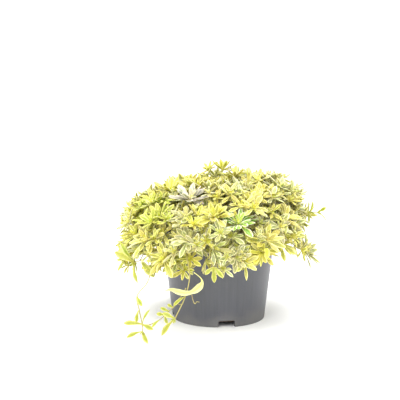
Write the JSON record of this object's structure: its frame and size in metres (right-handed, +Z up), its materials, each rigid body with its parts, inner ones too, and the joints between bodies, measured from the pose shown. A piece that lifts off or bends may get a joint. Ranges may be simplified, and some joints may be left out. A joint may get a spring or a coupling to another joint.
{
  "type": "potted variegated rock cress",
  "caption": "Mound-forming variegated rock cress in a tapered round plastic nursery pot, with leaf rosettes on branching stems and trailing runners.",
  "frame": {"origin": "middle of the pot's foot, on the surface that the pot stands on", "axes": "+Z up along the pot's axis; the front of the plant, with the trailing runners to its left, faces -Y"},
  "size_m": [0.2968, 0.3039, 0.2285],
  "materials": {
    "pot_plastic": "satin",
    "potting_soil": "rough",
    "leaf_gold": "satin",
    "leaf_cream": "satin",
    "leaf_green": "satin"
  },
  "bodies": {
    "root": {"pot": "pot_plastic", "soil": "potting_soil", "shoot_01": "leaf_gold", "shoot_02": "leaf_cream", "shoot_03": "leaf_cream", "shoot_04": "leaf_gold", "shoot_05": "leaf_cream", "shoot_06": "leaf_gold", "shoot_07": "leaf_gold", "shoot_08": "leaf_gold", "shoot_09": "leaf_gold", "shoot_10": "leaf_cream", "shoot_11": "leaf_gold", "shoot_12": "leaf_gold", "shoot_13": "leaf_gold", "shoot_14": "leaf_cream", "shoot_15": "leaf_gold", "shoot_16": "leaf_gold", "shoot_17": "leaf_cream", "shoot_18": "leaf_gold", "shoot_19": "leaf_gold", "shoot_20": "leaf_gold", "shoot_21": "leaf_green", "shoot_22": "leaf_cream", "shoot_23": "leaf_green", "shoot_24": "leaf_cream", "shoot_25": "leaf_cream", "shoot_26": "leaf_gold", "shoot_27": "leaf_cream", "shoot_28": "leaf_cream", "shoot_29": "leaf_cream", "shoot_30": "leaf_cream", "shoot_31": "leaf_cream", "shoot_32": "leaf_cream", "shoot_33": "leaf_gold", "shoot_34": "leaf_gold", "shoot_35": "leaf_cream", "shoot_36": "leaf_green", "shoot_37": "leaf_green", "shoot_38": "leaf_cream", "shoot_39": "leaf_cream", "shoot_40": "leaf_green", "shoot_41": "leaf_green", "shoot_42": "leaf_gold", "shoot_43": "leaf_gold", "shoot_44": "leaf_green", "shoot_45": "leaf_green", "shoot_46": "leaf_cream", "shoot_47": "leaf_cream", "shoot_48": "leaf_cream", "shoot_49": "leaf_gold", "runner_long": "leaf_green", "runner_left": "leaf_green", "runner_front": "leaf_green", "runner_middle": "leaf_green", "runner_right": "leaf_green"}
  },
  "joints": []
}
